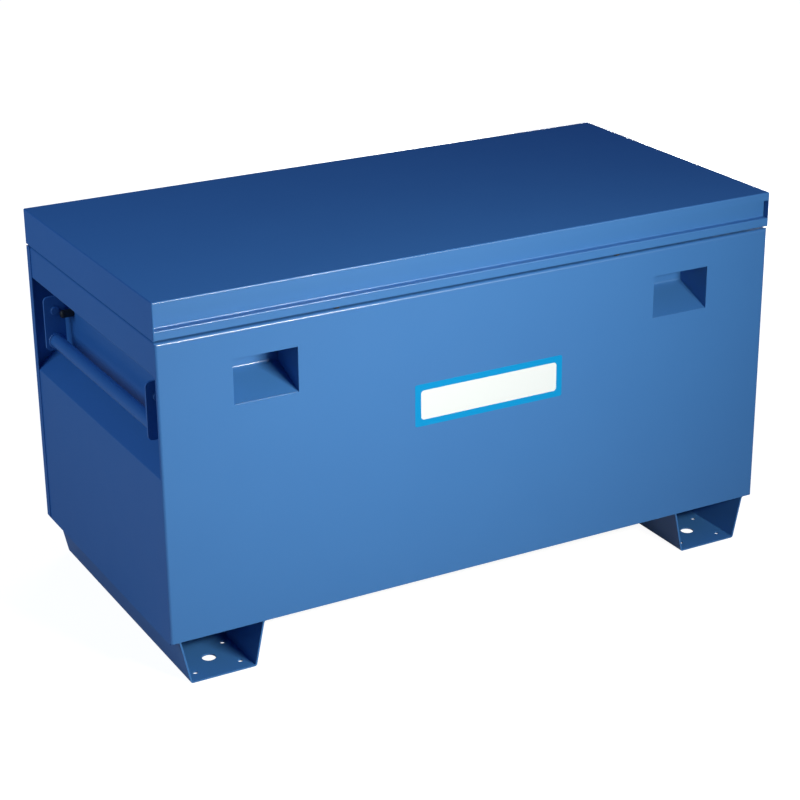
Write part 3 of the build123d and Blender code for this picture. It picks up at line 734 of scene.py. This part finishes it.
def makeFloor(look):
    # A pale sheet that keeps the shadow, glows for the camera and, by a small share, for
    # mirrors, and is clear from below
    half = look["floorSize"] / 2
    square = [(-half, -half, 0), (half, -half, 0), (half, half, 0), (-half, half, 0)]
    mesh = bpy.data.meshes.new("floor")
    mesh.from_pydata(square, [], [(0, 1, 2, 3)])
    floor = bpy.data.objects.new("floor", mesh)
    bpy.context.scene.collection.objects.link(floor)
    surface = Surface("paleFloor")
    mirror = surface.rays("Glossy") + surface.rays("Transmission")
    seen = surface.rays("Camera") + mirror * look["mirrorShare"]
    cloth = surface.node("ShaderNodeBsdfDiffuse", {}, {"Color": look["floorColour"]})
    reach = surface.node("ShaderNodeVectorMath", {"operation": "LENGTH"}, {0: surface.place()}, "Value")
    near, far = look["nearReach"], look["farReach"]
    strength = surface.fade(reach, near, far, look["nearGlow"], look["farGlow"])
    glow = surface.node("ShaderNodeEmission", {}, {"Strength": seen * strength})
    sheet = surface.node("ShaderNodeAddShader", {}, {0: cloth, 1: glow})
    below = surface.node("ShaderNodeNewGeometry", {}, {}, "Backfacing")
    clear = surface.node("ShaderNodeBsdfTransparent", {}, {})
    sheet = surface.node("ShaderNodeMixShader", {}, {0: below, 1: sheet, 2: clear})
    surface.node("ShaderNodeOutputMaterial", {}, {"Surface": sheet})
    mesh.materials.append(surface.owner)


def makeWorld(look):
    # Soft fill, bluer overhead, and white for the camera; mirrors see the fill dimmed, with
    # a small share of white in a band above the horizon
    world = bpy.data.worlds.new("studioWorld")
    bpy.context.scene.world = world
    surface = Surface("studioWorld", world)
    direction = surface.node("ShaderNodeTexCoord", {}, {}, "Generated")
    height = surface.part(direction, 2)
    band = surface.fade(height, look["ceiling"], look["horizon"])
    mirror = surface.rays("Glossy") + surface.rays("Transmission")
    white = surface.rays("Camera") + mirror * band * look["mirrorShare"]
    white = surface.node("ShaderNodeClamp", {}, {"Value": white})
    overhead = surface.fade(height, *look["fillHeights"])
    fill = surface.blend(overhead, look["lowFill"], look["highFill"])
    dim = {0: fill, "Scale": look["mirrorFill"]}
    dimmed = surface.node("ShaderNodeVectorMath", {"operation": "SCALE"}, dim)
    colour = surface.blend(white, surface.blend(mirror, fill, dimmed), (1.0, 1.0, 1.0, 1.0))
    shown = surface.node("ShaderNodeBackground", {}, {"Color": colour})
    surface.node("ShaderNodeOutputWorld", {}, {"Surface": shown})


lamps = {
    "keyLamp": {
        "at": (0.40, -2.30, 1.36),
        "towards": (-0.48, -0.30, 0.44),
        "size": (0.80, 0.16),
        "colour": (1.14, 1.03, 0.87),
        "power": 17.0,
        "spread": 94.0,
    },
    "sideLamp": {
        "at": (-2.25, 0.20, 1.25),
        "towards": (-0.60, 0.00, 0.48),
        "size": (1.2, 1.2),
        "colour": (0.74, 0.92, 1.12),
        "power": 12.0,
        "spread": 180.0,
    },
    "backLamp": {
        "at": (2.10, 2.30, 0.45),
        "towards": (0.20, 0.20, 0.35),
        "size": (1.8, 0.5),
        "colour": (1.0, 1.0, 1.0),
        "power": 80.0,
        "spread": 180.0,
    },
}


def makeLamp(name, look):
    light = bpy.data.lights.new(name, "AREA")
    light.shape = "RECTANGLE"
    light.size, light.size_y = look["size"]
    light.color = look["colour"]
    light.energy = look["power"]
    light.spread = radians(look["spread"])
    lamp = bpy.data.objects.new(name, light)
    lamp.visible_camera = False
    bpy.context.scene.collection.objects.link(lamp)
    aim = Vector(look["towards"]) - Vector(look["at"])
    turned = aim.to_track_quat("-Z", "Y").to_matrix().to_4x4()
    lamp.matrix_world = Matrix.Translation(look["at"]) @ turned


makeFloor(studio)
makeWorld(studio)
for name, look in lamps.items():
    makeLamp(name, look)
bpy.context.scene.view_settings.view_transform = "Standard"
print("floor and lamps made")


# Camera at the photograph's angle

cameraLook = {
    "azimuth": -28.714,
    "elevation": 21.976,
    "roll": -0.521,
    "distance": 3.880,
    "aside": 0.0005,
    "above": -0.0459,
    "targetHeight": 0.350,
    "lens": 92.78,
    "sensorWidth": 36.0,
}


def makeCamera(look):
    # Stands back from the target along the view, moved in the picture's own plane
    turn, lift, roll = (radians(look[name]) for name in ("azimuth", "elevation", "roll"))
    back = Vector((sin(turn) * cos(lift), -cos(turn) * cos(lift), sin(lift)))
    right = Vector((cos(turn), sin(turn), 0.0))
    up = back.cross(right)
    place = Vector((0.0, 0.0, look["targetHeight"]))
    place += back * look["distance"] + right * look["aside"] + up * look["above"]
    rolledRight = right * cos(roll) + up * sin(roll)
    rolledUp = up * cos(roll) - right * sin(roll)
    turned = Matrix((rolledRight, rolledUp, back)).transposed().to_4x4()
    settings = bpy.data.cameras.new("camera")
    settings.lens = look["lens"]
    settings.sensor_width = look["sensorWidth"]
    camera = bpy.data.objects.new("camera", settings)
    bpy.context.scene.collection.objects.link(camera)
    camera.matrix_world = Matrix.Translation(place) @ turned
    bpy.context.scene.camera = camera


makeCamera(cameraLook)
print("camera made")
